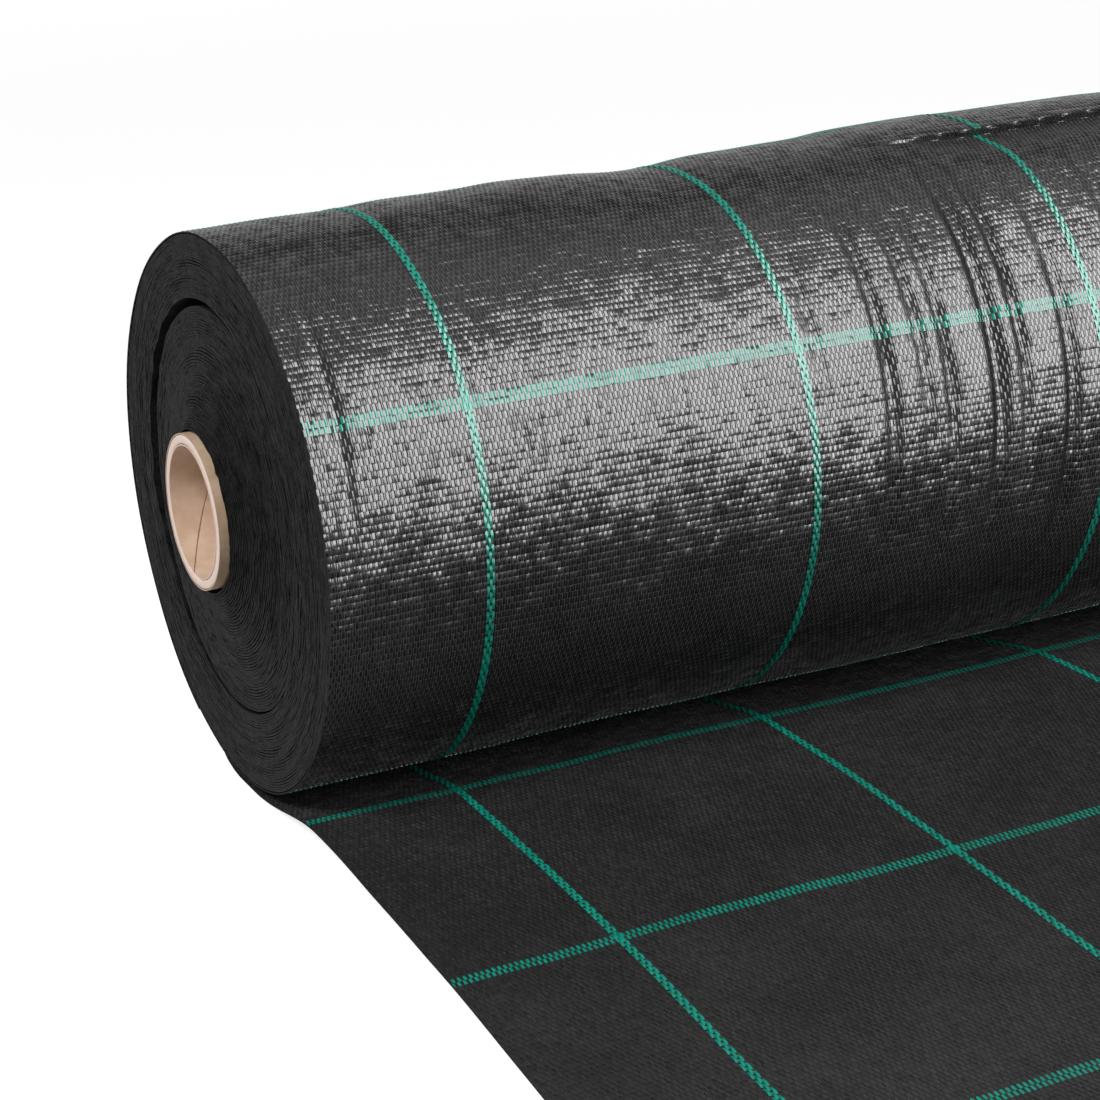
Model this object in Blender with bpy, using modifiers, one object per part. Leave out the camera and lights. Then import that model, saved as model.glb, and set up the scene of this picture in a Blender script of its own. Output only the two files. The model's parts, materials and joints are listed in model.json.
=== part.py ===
"""A roll of woven ground cover cloth on a cardboard core, lying on its own unrolled free end.

The roll's axis runs along X. The cloth leaves the bottom of the roll towards -Y and lies on the ground,
whose level is Z = 0. The origin is on the ground, below the middle of the core.
Lengths are in metres and angles in degrees.

A cloth piece is drawn from its edge: a path in the plane square to the roll's axis, extruded along the axis
and thickened. In that plane an angle of 0 points to the back of the roll (+Y) and 90 points up.
The cloth winds inwards as the angle grows: bottom at -90, back at 0, top at 90, front at 180.
"""

import math

import bpy
from mathutils import Matrix, Vector

OBJECT_NAME = "weed_fabric_roll"

# Cloth
cloth_width = 1.0
cloth_thickness = 0.0008
roll_radius = 0.165
free_length = 0.62
lay_gap = 0.0003

# Green marker tapes, woven in as a square grid. The lowest one on the roll's front hangs lower than
# the grid would put it, because the outermost turn is slack there.
marker_spacing = 0.2
marker_edge_margin = 0.0917
tape_thickness = 0.0003
warp_marker_width = 0.005
weft_marker_width = 0.0075
front_marker_angle = 151.5
low_marker_angle = 242.0

# Cardboard core
core_length = 1.02
core_overhang = 0.016
core_bore_radius = 0.0381
core_liner_thickness = 0.0006
core_board_thickness = 0.0051
core_cover_thickness = 0.0006
core_rim_bevel = 0.0008
liner_pitch = 0.105
liner_seam_gap = 0.0006
liner_seam_depth = 0.024

# Strip of adhesive tape that starts the winding
starter_tape_width = 0.048
starter_tape_thickness = 0.0003
starter_tape_inset = 0.02
starter_tape_angle = 60.0

# Bundles of turns, with a slack space between the two
inner_bundle_offset = 0.0045
inner_bundle_offset_angle = 190.0
inner_bundle_shift = 0.006
outer_bundle_depth = 0.0465
outer_bundle_loops = 16
outer_bundle_gap = 0.0008

# Outermost turn, whose inner end is tucked under its outer end
outer_turn_start_angle = -64.0
tuck_start_angle = 270.0
tuck_end_angle = 296.0
outer_turn_end_angle = 308.0
outer_bundle_start_angle = 310.0
roll_marker_end_angle = 288.0

# Free sheet: a low wave of slack in front of the roll, at distances from the roll's lowest line,
# and a lip that rises behind the roll to meet its outermost turn
wave_height = 0.012
wave_start = 0.02
wave_crest = 0.12
wave_facets = 36
flat_edge_length = 0.02
lift_off_distance = 0.03
lip_end_angle = -62.0
lip_points = 8
lip_handle_share = 1 / 3

# Facets in one turn, and the least angle between two faces that is shaded as an edge
core_facets = 32
bundle_facets = 36
cloth_facets = 40
edge_angle = 30.0

# Helpers that only trim other pieces run past them by this much.
cut_overrun = 0.005

# The core's radii follow from its bore outwards, with a seat gap between plies.
core_board_inner = core_bore_radius + core_liner_thickness + lay_gap
core_board_outer = core_board_inner + core_board_thickness
core_cover_inner = core_board_outer + lay_gap
core_cover_outer = core_cover_inner + core_cover_thickness
starter_tape_inner = core_cover_outer + lay_gap
inner_bundle_bore = starter_tape_inner + starter_tape_thickness + lay_gap

# A round shape's facets lie inside its corners by this share of its radius.
cloth_facet_share = math.cos(math.pi / cloth_facets)

# The outer bundle's loops fill the room between its two radii evenly.
outer_bundle_inner_radius = roll_radius - outer_bundle_depth
outer_bundle_outer_radius = roll_radius - cloth_thickness / cloth_facet_share - lay_gap
outer_bundle_pitch = (
    outer_bundle_outer_radius - outer_bundle_inner_radius + outer_bundle_gap
) / (outer_bundle_loops + 1)
outer_bundle_thickness = outer_bundle_pitch - outer_bundle_gap

# The inner bundle leans on the outer bundle's innermost loop, on the side that it is offset to.
seat_turns = (outer_bundle_start_angle - inner_bundle_offset_angle) % 360 / 360
seat_radius = outer_bundle_inner_radius + outer_bundle_pitch * seat_turns
inner_bundle_radius = seat_radius * cloth_facet_share - inner_bundle_offset - lay_gap

tuck_depth = cloth_thickness / cloth_facet_share + lay_gap

# Lengthwise marker tapes lie on the cloth, and crosswise ones over them.
warp_marker_lift = lay_gap
weft_marker_lift = warp_marker_lift + tape_thickness + lay_gap
marker_height = weft_marker_lift + tape_thickness

# The roll turns clear of the free sheet and of the lengthwise markers on it.
sheet_to_roll = warp_marker_lift + tape_thickness + lay_gap + marker_height
axis_height = cloth_thickness + sheet_to_roll + roll_radius

# The wave runs out just before the sheet's cut edge, which lies flat.
wave_end = free_length - flat_edge_length
wave_step = (wave_end - wave_start) / wave_facets

# Places along the axis, measured from the middle of the core
cloth_near_edge = core_overhang - core_length / 2
cloth_middle = cloth_near_edge + cloth_width / 2
warp_marker_count = 1 + int((cloth_width - marker_edge_margin) / marker_spacing)
warp_marker_places = [
    cloth_near_edge + marker_edge_margin + index * marker_spacing
    for index in range(warp_marker_count)
]


def clear_scene():
    for scene_object in list(bpy.data.objects):
        bpy.data.objects.remove(scene_object, do_unlink=True)


def new_collection(name):
    collection = bpy.data.collections.new(name)
    bpy.context.scene.collection.children.link(collection)
    return collection


def new_material(name, colour, roughness):
    material = bpy.data.materials.new(name)
    material.use_nodes = True
    surface = material.node_tree.nodes["Principled BSDF"]
    surface.inputs["Base Color"].default_value = (*colour, 1)
    surface.inputs["Roughness"].default_value = roughness
    surface.inputs["Metallic"].default_value = 0
    return material


def new_frame(name, height):
    """An empty whose local Z runs along the roll's axis, X to the back and Y up."""
    frame = bpy.data.objects.new(name, None)
    turn = Matrix(((0, 0, 1, 0), (1, 0, 0, 0), (0, 1, 0, 0), (0, 0, 0, 1)))
    frame.matrix_world = Matrix.Translation((0, 0, height)) @ turn
    parts.objects.link(frame)
    return frame


def add_piece(name, data, frame, along, material, collection=None):
    """Puts one piece in the frame, with its own middle at the given place along the roll's axis."""
    piece = bpy.data.objects.new(name, data)
    piece.parent = frame
    piece.location = (0, 0, along)
    if material:
        data.materials.append(material)
    (collection or parts).objects.link(piece)
    return piece


def polar(angle, radius):
    return Vector((math.cos(math.radians(angle)), math.sin(math.radians(angle)))) * radius


def facet_point(angle, radius_at, facets):
    """The point at this angle on the facets whose corners follow radius_at(angle)."""
    step = 360 / facets
    corner = step * math.floor(angle / step)
    share = (angle - corner) / step
    near = polar(corner, radius_at(corner))
    far = polar(corner + step, radius_at(corner + step))
    return near.lerp(far, share)


def turn_path(start, end, radius_at, facets=cloth_facets):
    """A path round the roll's axis: its two ends, and between them each facet corner."""
    step = 360 / facets
    first = math.floor(start / step) + 1
    last = math.ceil(end / step) - 1
    angles = [start, *(step * index for index in range(first, last + 1)), end]
    return [facet_point(angle, radius_at, facets) for angle in angles]


def eased(share):
    """0 up to a share of 0, 1 from a share of 1, and a smooth step between the two."""
    share = max(0, min(1, share))
    return share * share * (3 - 2 * share)


def cloth_strip(name, path, frame, along, width, thickness, outwards, material):
    """A strip of this width along the axis, drawn from its path and thickened to one side of it.

    The path runs with growing angle. The strip thickens away from the roll's axis if outwards is true.
    """
    curve = bpy.data.curves.new(name, "CURVE")
    curve.dimensions = "2D"
    curve.fill_mode = "NONE"
    curve.extrude = width / 2
    spline = curve.splines.new("POLY")
    spline.points.add(len(path) - 1)
    for point, place in zip(spline.points, path):
        point.co = (*place, 0, 1)
    piece = add_piece(name, curve, frame, along, material)
    solidify = piece.modifiers.new("thickness", "SOLIDIFY")
    solidify.thickness = thickness
    solidify.offset = -1 if outwards else 1
    solidify.use_even_offset = True
    return piece


def turned_tube(name, inner, outer, length, bevel, frame, material):
    """A tube round the frame's Z axis, from a closed profile that runs down its outer side."""
    top = length / 2
    profile = [
        (outer, top - bevel),
        (outer, bevel - top),
        (outer - bevel, -top),
        (inner + bevel, -top),
        (inner, bevel - top),
        (inner, top - bevel),
        (inner + bevel, top),
        (outer - bevel, top),
    ]
    if not bevel:
        profile = [(outer, top), (outer, -top), (inner, -top), (inner, top)]
    count = len(profile)
    mesh = bpy.data.meshes.new(name)
    mesh.from_pydata(
        [(radius, 0, height) for radius, height in profile],
        [(index, (index + 1) % count) for index in range(count)],
        [],
    )
    piece = add_piece(name, mesh, frame, 0, material)
    screw = piece.modifiers.new("turn", "SCREW")
    screw.steps = core_facets
    screw.render_steps = core_facets
    screw.use_smooth_shade = True
    return piece


def round_bar(name, radius, length, facets, frame, along, material, collection=None):
    bpy.ops.mesh.primitive_cylinder_add(vertices=facets, radius=radius, depth=length)
    bar = bpy.context.object
    mesh = bar.data
    mesh.name = name
    mesh.shade_smooth()
    mesh.set_sharp_from_angle(angle=math.radians(edge_angle))
    bpy.data.objects.remove(bar)
    return add_piece(name, mesh, frame, along, material, collection)


def make_helper(helper):
    helper.hide_render = True
    helper.display_type = "WIRE"


def build_core(frame):
    """The spiral-wound paper tube: a liner strip with an open seam, the board plies and a smooth cover."""
    turned_tube(
        "core_board", core_board_inner, core_board_outer, core_length, core_rim_bevel, frame, kraft_board
    )
    turned_tube(
        "core_cover_ply", core_cover_inner, core_cover_outer, core_length, 0, frame, kraft_paper
    )
    build_core_liner(frame)


def build_core_liner(frame):
    """The inner ply: one strip of paper in a helix, cut square with the tube at both ends.

    Its seam crosses the back of the bore at liner_seam_depth from the near end.
    """
    turns = math.ceil(core_length / liner_pitch) + 3
    seam = liner_seam_depth - core_length / 2
    lowest = seam - 2 * liner_pitch
    mesh = bpy.data.meshes.new("core_liner_ply")
    mesh.from_pydata(
        [
            (core_bore_radius, 0, lowest + liner_pitch - liner_seam_gap),
            (core_bore_radius, 0, lowest),
        ],
        [(0, 1)],
        [],
    )
    liner = add_piece("core_liner_ply", mesh, frame, 0, kraft_paper)
    screw = liner.modifiers.new("helix", "SCREW")
    screw.steps = core_facets
    screw.render_steps = core_facets
    screw.screw_offset = liner_pitch
    screw.iterations = turns
    solidify = liner.modifiers.new("thickness", "SOLIDIFY")
    solidify.thickness = core_liner_thickness
    solidify.offset = 1
    solidify.use_even_offset = True
    trim = round_bar(
        "liner_trim", core_board_outer, core_length, core_facets, frame, 0, None, helpers
    )
    make_helper(trim)
    cut = liner.modifiers.new("square ends", "BOOLEAN")
    cut.operation = "INTERSECT"
    cut.object = trim


def build_starter_tape(frame):
    """The adhesive tape under the first turn, which holds the cloth's first edge on the core."""
    half_angle = math.degrees(starter_tape_width / starter_tape_inner) / 2
    path = turn_path(
        starter_tape_angle - half_angle,
        starter_tape_angle + half_angle,
        lambda angle: starter_tape_inner,
        core_facets,
    )
    length = cloth_width - 2 * starter_tape_inset
    cloth_strip(
        "starter_tape", path, frame, cloth_middle, length, starter_tape_thickness, True, clear_tape
    )


def build_inner_bundle(frame):
    """The tight inner turns as one body, slipped towards the near end and to one side in the slack."""
    along = cloth_middle - inner_bundle_shift
    bundle = round_bar(
        "inner_winding", inner_bundle_radius, cloth_width, bundle_facets, frame, along, weed_cloth
    )
    offset = polar(inner_bundle_offset_angle, inner_bundle_offset)
    bundle.location = (*offset, along)
    bore = round_bar(
        "inner_winding_bore",
        inner_bundle_bore,
        cloth_width + 2 * cut_overrun,
        core_facets,
        frame,
        along,
        None,
        helpers,
    )
    make_helper(bore)
    cut = bundle.modifiers.new("bore", "BOOLEAN")
    cut.object = bore


def outer_bundle_radius_at(angle):
    """Outer side of the winding: a spiral that draws in by one pitch a turn."""
    turns = (angle - outer_bundle_start_angle) / 360
    return outer_bundle_outer_radius - outer_bundle_pitch * turns


def least_loop_gap(path):
    """The least distance on the path's points between a loop's inner side and the next loop's outer side."""
    least = math.inf
    half_turn = cloth_facets // 2
    for index, place in enumerate(path[1:-1], 1):
        inner_side = place - place.normalized() * outer_bundle_thickness / cloth_facet_share
        loops_inside = path[index + half_turn :]
        for near, far in zip(loops_inside, loops_inside[1:]):
            edge = far - near
            share = max(0, min(1, (inner_side - near).dot(edge) / edge.length_squared))
            gap = (inner_side - near.lerp(far, share)).length
            least = min(least, gap)
    return least


def build_outer_bundle(frame):
    """The slack outer turns: one unbroken band wound in a spiral, each loop standing for a few turns."""
    end = outer_bundle_start_angle + 360 * outer_bundle_loops
    path = turn_path(outer_bundle_start_angle, end, outer_bundle_radius_at)
    cloth_strip(
        "outer_winding", path, frame, cloth_middle, cloth_width, outer_bundle_thickness, False, weed_cloth
    )
    print(f"outer_winding: least gap between its loops {1000 * least_loop_gap(path):.2f} mm")


def outer_turn_radius_at(angle):
    """Outer side of the outermost turn: round, then drawn in where it is tucked under its own end."""
    share = (angle - tuck_start_angle) / (tuck_end_angle - tuck_start_angle)
    return roll_radius - tuck_depth * eased(share)


def build_outer_turn(frame):
    """The outermost turn of cloth, whose outer end meets the free sheet behind the roll."""
    path = turn_path(outer_turn_start_angle, outer_turn_end_angle, outer_turn_radius_at)
    cloth_strip(
        "outer_turn", path, frame, cloth_middle, cloth_width, cloth_thickness, False, weed_cloth
    )


def build_roll_warp_markers(frame):
    """Lengthwise marker tapes on the outermost turn, up to where it is tucked in."""
    path = turn_path(
        outer_turn_start_angle,
        roll_marker_end_angle,
        lambda angle: outer_turn_radius_at(angle) + warp_marker_lift,
    )
    for number, place in enumerate(warp_marker_places, 1):
        name = f"roll_warp_marker_{number}"
        cloth_strip(name, path, frame, place, warp_marker_width, tape_thickness, True, green_tape)


def cloth_distance(angle):
    """Length of cloth from the roll's lowest line to this angle on the outermost turn."""
    return roll_radius * math.radians(angle + 90)


def weft_marker_distances(lowest, highest):
    """Places of the crosswise markers along the cloth between two of its lengths."""
    front = cloth_distance(front_marker_angle)
    first = math.ceil((lowest - front) / marker_spacing)
    last = math.floor((highest - front) / marker_spacing)
    return [front + index * marker_spacing for index in range(first, last + 1)]


def build_roll_weft_markers(frame):
    """Crosswise marker tapes on the outermost turn, over the lengthwise ones."""
    half_angle = math.degrees(weft_marker_width / roll_radius) / 2
    places = weft_marker_distances(
        cloth_distance(lip_end_angle + half_angle), cloth_distance(front_marker_angle)
    )
    angles = [math.degrees(distance / roll_radius) - 90 for distance in places]
    for number, angle in enumerate([*angles, low_marker_angle], 1):
        path = turn_path(
            angle - half_angle,
            angle + half_angle,
            lambda angle: outer_turn_radius_at(angle) + weft_marker_lift,
        )
        name = f"roll_weft_marker_{number}"
        cloth_strip(name, path, frame, cloth_middle, cloth_width, tape_thickness, True, green_tape)


def wave_at(place):
    """Height of the free sheet's underside at this distance behind the roll's lowest line."""
    rise = eased((-place - wave_start) / (wave_crest - wave_start))
    fall = eased((-place - wave_crest) / (wave_end - wave_crest))
    return wave_height * rise * (1 - fall)


def ground_point(place, height):
    """The point at this height over the sheet's underside, square to the wave's slope."""
    rise = wave_at(place + cloth_thickness) - wave_at(place - cloth_thickness)
    along = Vector((2 * cloth_thickness, rise)).normalized()
    return Vector((place, wave_at(place))) + Vector((-along.y, along.x)) * height


def ground_facet_point(place, height):
    """The point at this height over the wave's facets, whose corners lie on the wave itself."""
    corner = wave_step * math.floor((place + wave_end) / wave_step) - wave_end
    near = ground_point(corner, height)
    far = ground_point(corner + wave_step, height)
    return near.lerp(far, (place - corner) / wave_step)


def sheet_path(height):
    """The free sheet's side view at this height over its underside, from its cut front edge to its lip.

    It lies on the ground but for its wave, then rises in one smooth bend to the outermost turn.
    """
    axis = Vector((0, axis_height))
    flat_end = Vector((lift_off_distance, 0))
    lip_end = axis + polar(lip_end_angle, roll_radius + sheet_to_roll + cloth_thickness)
    handle = (lip_end - flat_end).length * lip_handle_share
    flat_handle = flat_end + Vector((1, 0)) * handle
    lip_handle = lip_end - polar(lip_end_angle + 90, handle)
    places = [Vector((-free_length, height))]
    for index in range(wave_facets + 1):
        places.append(ground_point(index * wave_step - wave_end, height))
    for index in range(lip_points + 1):
        share = index / lip_points
        rest = 1 - share
        place = (
            flat_end * rest**3
            + flat_handle * 3 * rest**2 * share
            + lip_handle * 3 * rest * share**2
            + lip_end * share**3
        )
        along = (
            (flat_handle - flat_end) * rest**2
            + (lip_handle - flat_handle) * 2 * rest * share
            + (lip_end - lip_handle) * share**2
        )
        upwards = Vector((-along.y, along.x)).normalized()
        places.append(place + upwards * height)
    return places


def build_sheet(frame):
    """The unrolled cloth on the ground."""
    cloth_strip(
        "laid_sheet", sheet_path(0), frame, cloth_middle, cloth_width, cloth_thickness, False, weed_cloth
    )


def build_sheet_markers(frame):
    """Lengthwise marker tapes on the sheet, and crosswise ones over them."""
    path = sheet_path(cloth_thickness + warp_marker_lift)
    for number, place in enumerate(warp_marker_places, 1):
        name = f"sheet_warp_marker_{number}"
        cloth_strip(name, path, frame, place, warp_marker_width, tape_thickness, False, green_tape)
    half_width = weft_marker_width / 2
    height = cloth_thickness + weft_marker_lift
    places = weft_marker_distances(half_width - free_length, -half_width)
    for number, distance in enumerate(reversed(places), 1):
        path = [
            ground_facet_point(distance - half_width, height),
            ground_facet_point(distance, height),
            ground_facet_point(distance + half_width, height),
        ]
        name = f"sheet_weft_marker_{number}"
        cloth_strip(name, path, frame, cloth_middle, cloth_width, tape_thickness, False, green_tape)


clear_scene()
parts = new_collection(OBJECT_NAME)
helpers = new_collection("helpers")
helpers.hide_render = True

weed_cloth = new_material("weed_cloth", (0.016, 0.016, 0.018), 0.45)
green_tape = new_material("green_tape", (0.0, 0.27, 0.19), 0.4)
kraft_board = new_material("kraft_board", (0.62, 0.46, 0.33), 0.85)
kraft_paper = new_material("kraft_paper", (0.5, 0.35, 0.24), 0.75)
clear_tape = new_material("clear_tape", (0.62, 0.5, 0.3), 0.3)

roll_frame = new_frame("roll_axis", axis_height)
sheet_frame = new_frame("ground_line", 0)

build_core(roll_frame)
build_starter_tape(roll_frame)
build_inner_bundle(roll_frame)
build_outer_bundle(roll_frame)
build_outer_turn(roll_frame)
build_roll_warp_markers(roll_frame)
build_roll_weft_markers(roll_frame)
build_sheet(sheet_frame)
build_sheet_markers(sheet_frame)
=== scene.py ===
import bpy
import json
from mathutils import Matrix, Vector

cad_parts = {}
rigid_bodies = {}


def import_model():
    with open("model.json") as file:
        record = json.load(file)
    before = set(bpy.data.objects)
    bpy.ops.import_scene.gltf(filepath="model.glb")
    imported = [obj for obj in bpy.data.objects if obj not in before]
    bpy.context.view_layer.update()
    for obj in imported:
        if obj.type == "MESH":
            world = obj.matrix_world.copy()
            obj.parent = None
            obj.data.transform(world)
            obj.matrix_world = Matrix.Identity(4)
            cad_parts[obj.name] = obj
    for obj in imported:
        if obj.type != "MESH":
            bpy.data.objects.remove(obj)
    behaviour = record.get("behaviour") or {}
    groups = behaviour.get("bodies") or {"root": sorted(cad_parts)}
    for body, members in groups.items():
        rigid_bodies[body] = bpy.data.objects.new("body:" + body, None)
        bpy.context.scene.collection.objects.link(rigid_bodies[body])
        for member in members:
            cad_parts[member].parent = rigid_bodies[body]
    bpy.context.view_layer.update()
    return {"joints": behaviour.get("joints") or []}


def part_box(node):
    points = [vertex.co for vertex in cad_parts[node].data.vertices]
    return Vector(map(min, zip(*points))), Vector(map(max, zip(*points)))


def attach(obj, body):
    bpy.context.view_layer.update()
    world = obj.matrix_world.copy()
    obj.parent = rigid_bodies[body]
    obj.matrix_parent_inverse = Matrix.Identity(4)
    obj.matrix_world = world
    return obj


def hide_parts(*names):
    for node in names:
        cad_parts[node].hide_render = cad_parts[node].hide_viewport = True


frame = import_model()

import json
import math

import bpy
import numpy as np
from mathutils import Matrix

# Core board
# The middle of the roll is a tube of many plies of grey-brown kraft paper. They are glued in a spiral round
# a mandrel and sawn to length, so the cut rim shows the plies as fine rings and is paler than the skin.
axis_height = frame["joints"][0]["pos_m"][2]
board_low, board_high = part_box("core_board")
core_near_end = board_low.x
core_far_end = board_high.x
board_outer = (board_high.y - board_low.y) / 2
board_inner = 0.039
rim_bevel = 0.0008
rim_bevel_points = 4
core_steps = 128
sharp_angle = math.radians(40)
mottle_scale = 90.0
speck_scale = 900.0
fibre_height = 0.00025
mottle_span = (0.35, 0.65)
noise_span = (0.3, 0.7)
cut_span = (0.35, 0.8)
ring_span = (-0.6, 1.6)
cut_shade_share = 0.82
paper_gloss = 0.3


def grid_faces(rows, columns, rows_meet=False, columns_meet=False):
    """Quads of a grid of points, row by row. Each joins a point, the next one in its row and the same two
    in the next row. Where rows or columns meet, the last one joins the first."""
    row = np.arange(rows if rows_meet else rows - 1)[:, None]
    column = np.arange(columns if columns_meet else columns - 1)[None, :]
    next_row = (row + 1) % rows
    next_column = (column + 1) % columns
    corners = np.broadcast_arrays(
        row * columns + column,
        row * columns + next_column,
        next_row * columns + next_column,
        next_row * columns + column,
    )
    return np.stack(corners, axis=-1).reshape(-1, 4)


def enclosed_volume(points, faces):
    """Six times the volume inside closed quads: the sum of the triple products of their two triangles."""
    first, second, third, fourth = (points[faces[:, corner]] for corner in range(4))
    halves = np.cross(second, third) + np.cross(third, fourth)
    return float(np.einsum("ij,ij->", first, halves))


def add_piece(name, points, faces, flat_place, material, body, nodes, slot):
    """Makes one closed piece from its points and quads. Quads that point inwards enclose a negative volume
    and are turned round. flat_place gives each point's place on the flat piece, for its pattern."""
    points = points.reshape(-1, 3)
    flat_place = flat_place.reshape(-1, 2)
    if enclosed_volume(points, faces) < 0:
        faces = faces[:, ::-1]
    mesh = bpy.data.meshes.new(name)
    mesh.vertices.add(len(points))
    mesh.vertices.foreach_set("co", points.astype(np.float32).ravel())
    mesh.loops.add(faces.size)
    mesh.loops.foreach_set("vertex_index", faces.astype(np.int32).ravel())
    mesh.polygons.add(len(faces))
    mesh.polygons.foreach_set("loop_start", np.arange(0, faces.size, 4, dtype=np.int32))
    mesh.update(calc_edges=True)
    pattern = mesh.uv_layers.new(name="flat_place")
    pattern.data.foreach_set("uv", flat_place[faces.ravel()].astype(np.float32).ravel())
    mesh.shade_smooth()
    mesh.set_sharp_from_angle(angle=sharp_angle)
    mesh.materials.append(material)
    piece = bpy.data.objects.new(name, mesh)
    bpy.context.scene.collection.objects.link(piece)
    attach(piece, body)
    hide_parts(*nodes)
    return piece


def around_axis(place, radius, turn):
    """Points at a place along the roll's axis, a radius from it and a turn in radians, 0 at the back."""
    place, radius, turn = np.broadcast_arrays(place, radius, turn)
    return np.stack([place, radius * np.cos(turn), axis_height + radius * np.sin(turn)], axis=-1)


def turned_ring(profile):
    """A closed profile of (place, radius) carried once round the roll's axis, and its flat place:
    the distance along the profile and the distance round."""
    profile = np.array(profile)
    turn = np.linspace(0, 2 * math.pi, core_steps, endpoint=False)[:, None]
    points = around_axis(profile[None, :, 0], profile[None, :, 1], turn)
    step_lengths = np.linalg.norm(np.diff(profile, axis=0), axis=1)
    along = np.concatenate([[0], np.cumsum(step_lengths)])
    flat = np.stack(np.broadcast_arrays(along[None, :], turn * profile[:, 1].max()), axis=-1)
    return points, grid_faces(core_steps, len(profile), True, True), flat


def rounded_corner(place, radius, from_angle, to_angle):
    """Points of a quarter circle of the rim's bevel, round a centre at this place and radius."""
    angle = np.radians(np.linspace(from_angle, to_angle, rim_bevel_points))
    return list(zip(place + rim_bevel * np.cos(angle), radius + rim_bevel * np.sin(angle)))


def add_node(material, kind, sockets=None, **settings):
    """Adds a shader node. A socket's value is either another node's output, which is linked, or a value."""
    tree = material.node_tree
    made = tree.nodes.new(kind)
    for setting, value in settings.items():
        setattr(made, setting, value)
    for socket, value in (sockets or {}).items():
        if isinstance(value, bpy.types.NodeSocket):
            tree.links.new(value, made.inputs[socket])
        else:
            made.inputs[socket].default_value = value
    return made


def computed(material, operation, *values):
    """The output of a Math node over these values."""
    numbered = dict(enumerate(values))
    return add_node(material, "ShaderNodeMath", numbered, operation=operation).outputs[0]


def graded(material, value, low, high, at_low=0.0, at_high=1.0):
    """A value carried evenly from the span low to high to another one, and held at the ends."""
    sockets = {"Value": value, 1: low, 2: high, 3: at_low, 4: at_high}
    return add_node(material, "ShaderNodeMapRange", sockets).outputs[0]


def blended_colour(material, share, near, far):
    """The colour at this share of the way between two."""
    mixed = add_node(material, "ShaderNodeMix", {"Factor": share}, data_type="RGBA")
    for name, colour in (("A", near), ("B", far)):
        target = [s for s in mixed.inputs if s.name == name and s.type == "RGBA"][0]
        if isinstance(colour, bpy.types.NodeSocket):
            material.node_tree.links.new(colour, target)
        else:
            target.default_value = (*colour, 1)
    return [s for s in mixed.outputs if s.type == "RGBA"][0]


def new_material(name):
    """A material with its Principled shader, which is returned too."""
    material = bpy.data.materials.new(name)
    material.use_nodes = True
    return material, material.node_tree.nodes["Principled BSDF"]


def link_input(material, output, shader, socket):
    """Links a node's output to one of the shader's inputs."""
    material.node_tree.links.new(output, shader.inputs[socket])


def own_place(material):
    """Each point's place in the axes of its own piece."""
    return add_node(material, "ShaderNodeTexCoord").outputs["Object"]


def noise(material, vector, scale, detail=3.0, roughness=0.6):
    """The height of a noise of this scale, in lumps a metre."""
    sockets = {"Vector": vector, "Scale": scale, "Detail": detail, "Roughness": roughness}
    return add_node(material, "ShaderNodeTexNoise", sockets).outputs[0]


def roughen(material, shader, height, distance, strength):
    """Gives a surface small bumps: the height times the distance, in metres."""
    sockets = {"Height": height, "Distance": distance, "Strength": strength}
    bump = add_node(material, "ShaderNodeBump", sockets).outputs[0]
    link_input(material, bump, shader, "Normal")


def paper_material(name, skin, fibre, cut, ring_pitch):
    """Kraft paper: mottled fibres on its skin, and on a cut end finer, paler rings, one for each ply."""
    material, shader = new_material(name)
    place = own_place(material)
    mottle = noise(material, place, mottle_scale)
    speck = noise(material, place, speck_scale, 2.0)
    skin_colour = blended_colour(material, graded(material, mottle, *mottle_span), skin, fibre)
    from_axis = {"Vector": place, "Location": (0, 0, -axis_height)}
    centred = add_node(material, "ShaderNodeMapping", from_axis).outputs[0]
    split = add_node(material, "ShaderNodeSeparateXYZ", {"Vector": centred})
    squares = [computed(material, "MULTIPLY", split.outputs[part], split.outputs[part]) for part in "YZ"]
    radius = computed(material, "SQRT", computed(material, "ADD", *squares))
    phase = computed(material, "MULTIPLY", radius, 2 * math.pi / ring_pitch)
    ring = computed(material, "SINE", phase)
    facing = add_node(material, "ShaderNodeNewGeometry").outputs["Normal"]
    turned = add_node(
        material,
        "ShaderNodeVectorTransform",
        {"Vector": facing},
        vector_type="NORMAL",
        convert_from="WORLD",
        convert_to="OBJECT",
    ).outputs[0]
    faced = add_node(material, "ShaderNodeSeparateXYZ", {"Vector": turned})
    on_cut = graded(material, computed(material, "ABSOLUTE", faced.outputs["X"]), *cut_span)
    ring_share = graded(material, computed(material, "ADD", ring, speck), *ring_span)
    cut_shade = tuple(cut_shade_share * part for part in cut)
    cut_colour = blended_colour(material, ring_share, cut_shade, cut)
    colour = blended_colour(material, on_cut, skin_colour, cut_colour)
    link_input(material, colour, shader, "Base Color")
    link_input(material, graded(material, speck, *noise_span, 0.68, 0.86), shader, "Roughness")
    shader.inputs["Specular IOR Level"].default_value = paper_gloss
    height = computed(material, "ADD", computed(material, "MULTIPLY", speck, 0.6), mottle)
    roughen(material, shader, height, fibre_height, 0.5)
    return material


board_material = paper_material(
    "kraft_board", (0.56, 0.39, 0.27), (0.64, 0.46, 0.33), (0.92, 0.74, 0.66), 0.0007
)
board_profile = [
    *rounded_corner(core_far_end - rim_bevel, board_outer - rim_bevel, 90, 0),
    *rounded_corner(core_far_end - rim_bevel, board_inner + rim_bevel, 0, -90),
    *rounded_corner(core_near_end + rim_bevel, board_inner + rim_bevel, -90, -180),
    *rounded_corner(core_near_end + rim_bevel, board_outer - rim_bevel, 180, 90),
]
board = turned_ring(board_profile)
add_piece("core_board_wall", *board, board_material, "roll", ["core_board"], "kraft_board")

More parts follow.
